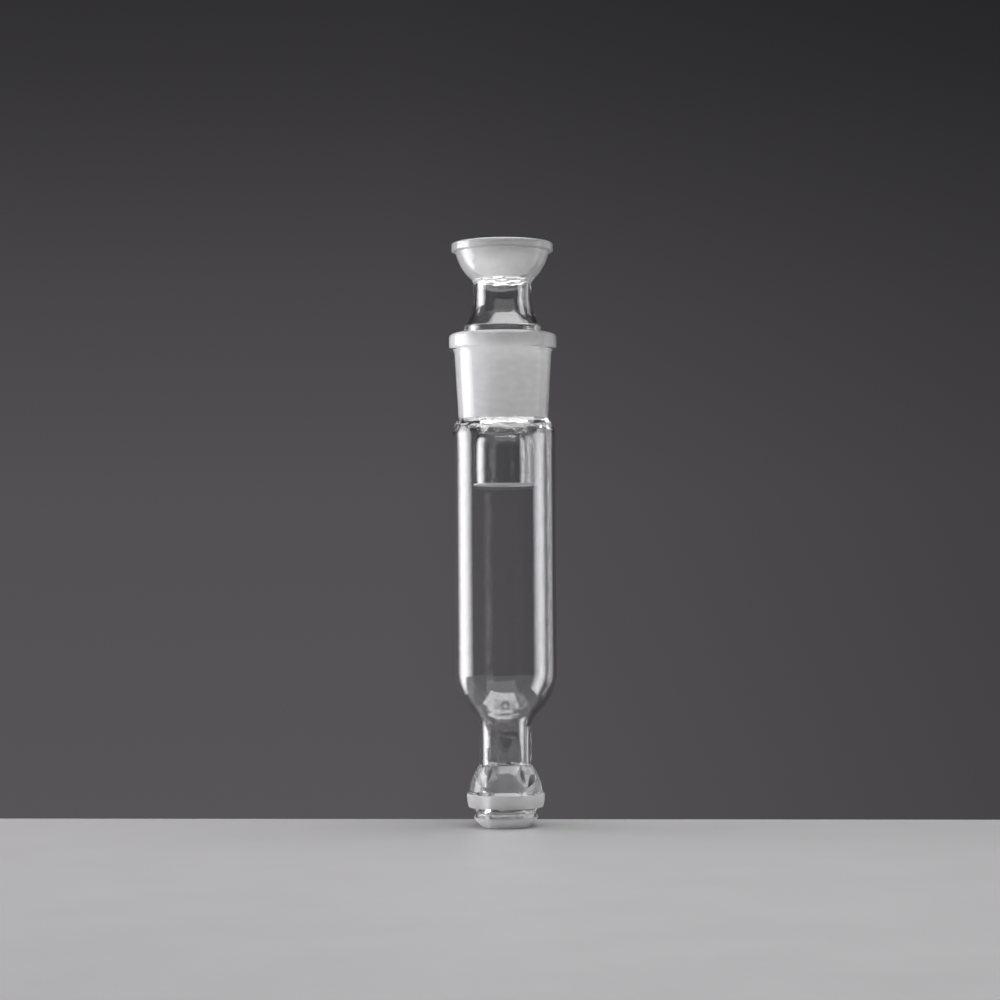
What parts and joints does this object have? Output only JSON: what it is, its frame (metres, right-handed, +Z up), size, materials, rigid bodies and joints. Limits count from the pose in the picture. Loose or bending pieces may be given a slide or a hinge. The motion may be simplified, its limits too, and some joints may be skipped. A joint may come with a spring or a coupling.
{
  "type": "absorption tube",
  "caption": "Straight clear glass absorption tube with a spherical ball at its foot, a ground taper socket at its top, and a lift-off head with a drip tube and a spherical cup.",
  "frame": {"origin": "centre of the ball joint's end ring, at the height of the surface that the tube stands on", "axes": "+Z up along the axis that every piece shares, from the ball joint to the cup joint; X and Y are free, because the object is a body of revolution"},
  "size_m": [0.0397, 0.0396, 0.2144],
  "materials": {
    "clear_glass": "clear fire-polished borosilicate glass",
    "ground_glass": "finely ground white sealing surfaces on clear borosilicate glass"
  },
  "bodies": {
    "vessel": {"ball_joint": "ground_glass", "lower_neck": "clear_glass", "body_tube": "clear_glass", "socket_joint": "ground_glass"},
    "head": {"drip_tube": "clear_glass", "cone_joint": "ground_glass", "head_neck": "clear_glass", "cup_joint": "ground_glass"}
  },
  "joints": [
    {"name": "head_lift", "type": "slide", "parent": "vessel", "child": "head", "axis": [0, 0, 1], "range_m": [0, 0.065]}
  ]
}
